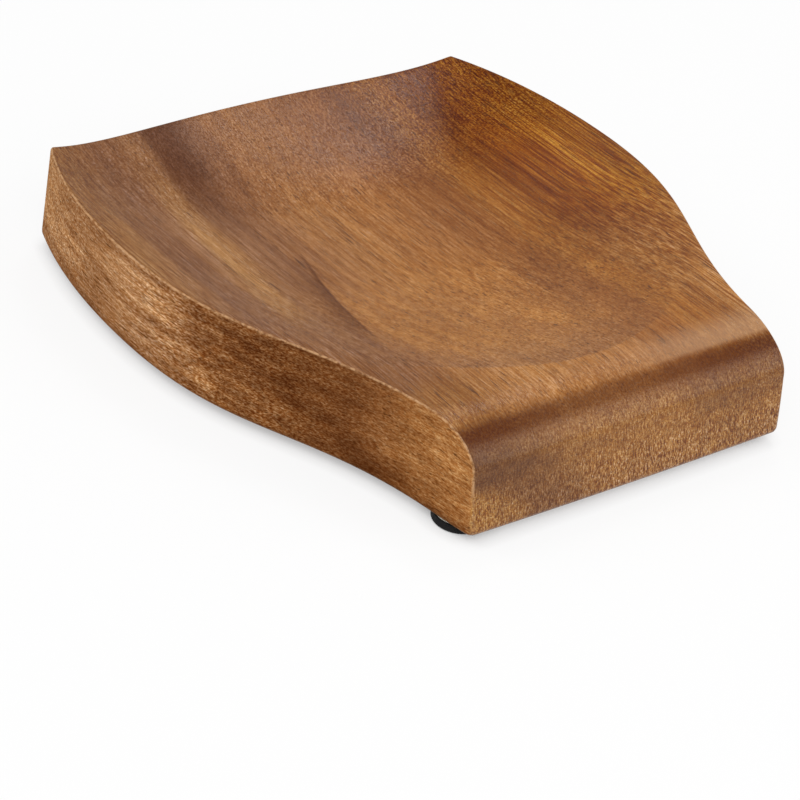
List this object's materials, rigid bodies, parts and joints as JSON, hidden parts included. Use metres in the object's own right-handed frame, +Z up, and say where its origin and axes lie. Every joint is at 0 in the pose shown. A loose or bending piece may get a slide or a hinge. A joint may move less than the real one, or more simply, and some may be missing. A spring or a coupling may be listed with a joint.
{
  "type": "spoon rest",
  "caption": "Carved wooden spoon rest: vase-shaped block with a scooped dish open over the back edge and a bull-nosed front, standing on stick-on rubber feet.",
  "frame": {"origin": "on the table, under the middle of the object's box", "axes": "+Z up from the table, -Y towards the bull-nosed front, +Y towards the open lip of the dish, +X to the right seen from the front"},
  "size_m": [0.1444, 0.1554, 0.0264],
  "materials": {
    "wood": "oiled satin",
    "rubber": "matte",
    "adhesive": "matte film"
  },
  "bodies": {
    "root": {"wood_block": "wood", "foot_front_left": "rubber", "foot_front_right": "rubber", "foot_back_left": "rubber", "foot_back_right": "rubber", "adhesive_front_left": "adhesive", "adhesive_front_right": "adhesive", "adhesive_back_left": "adhesive", "adhesive_back_right": "adhesive"}
  },
  "joints": []
}
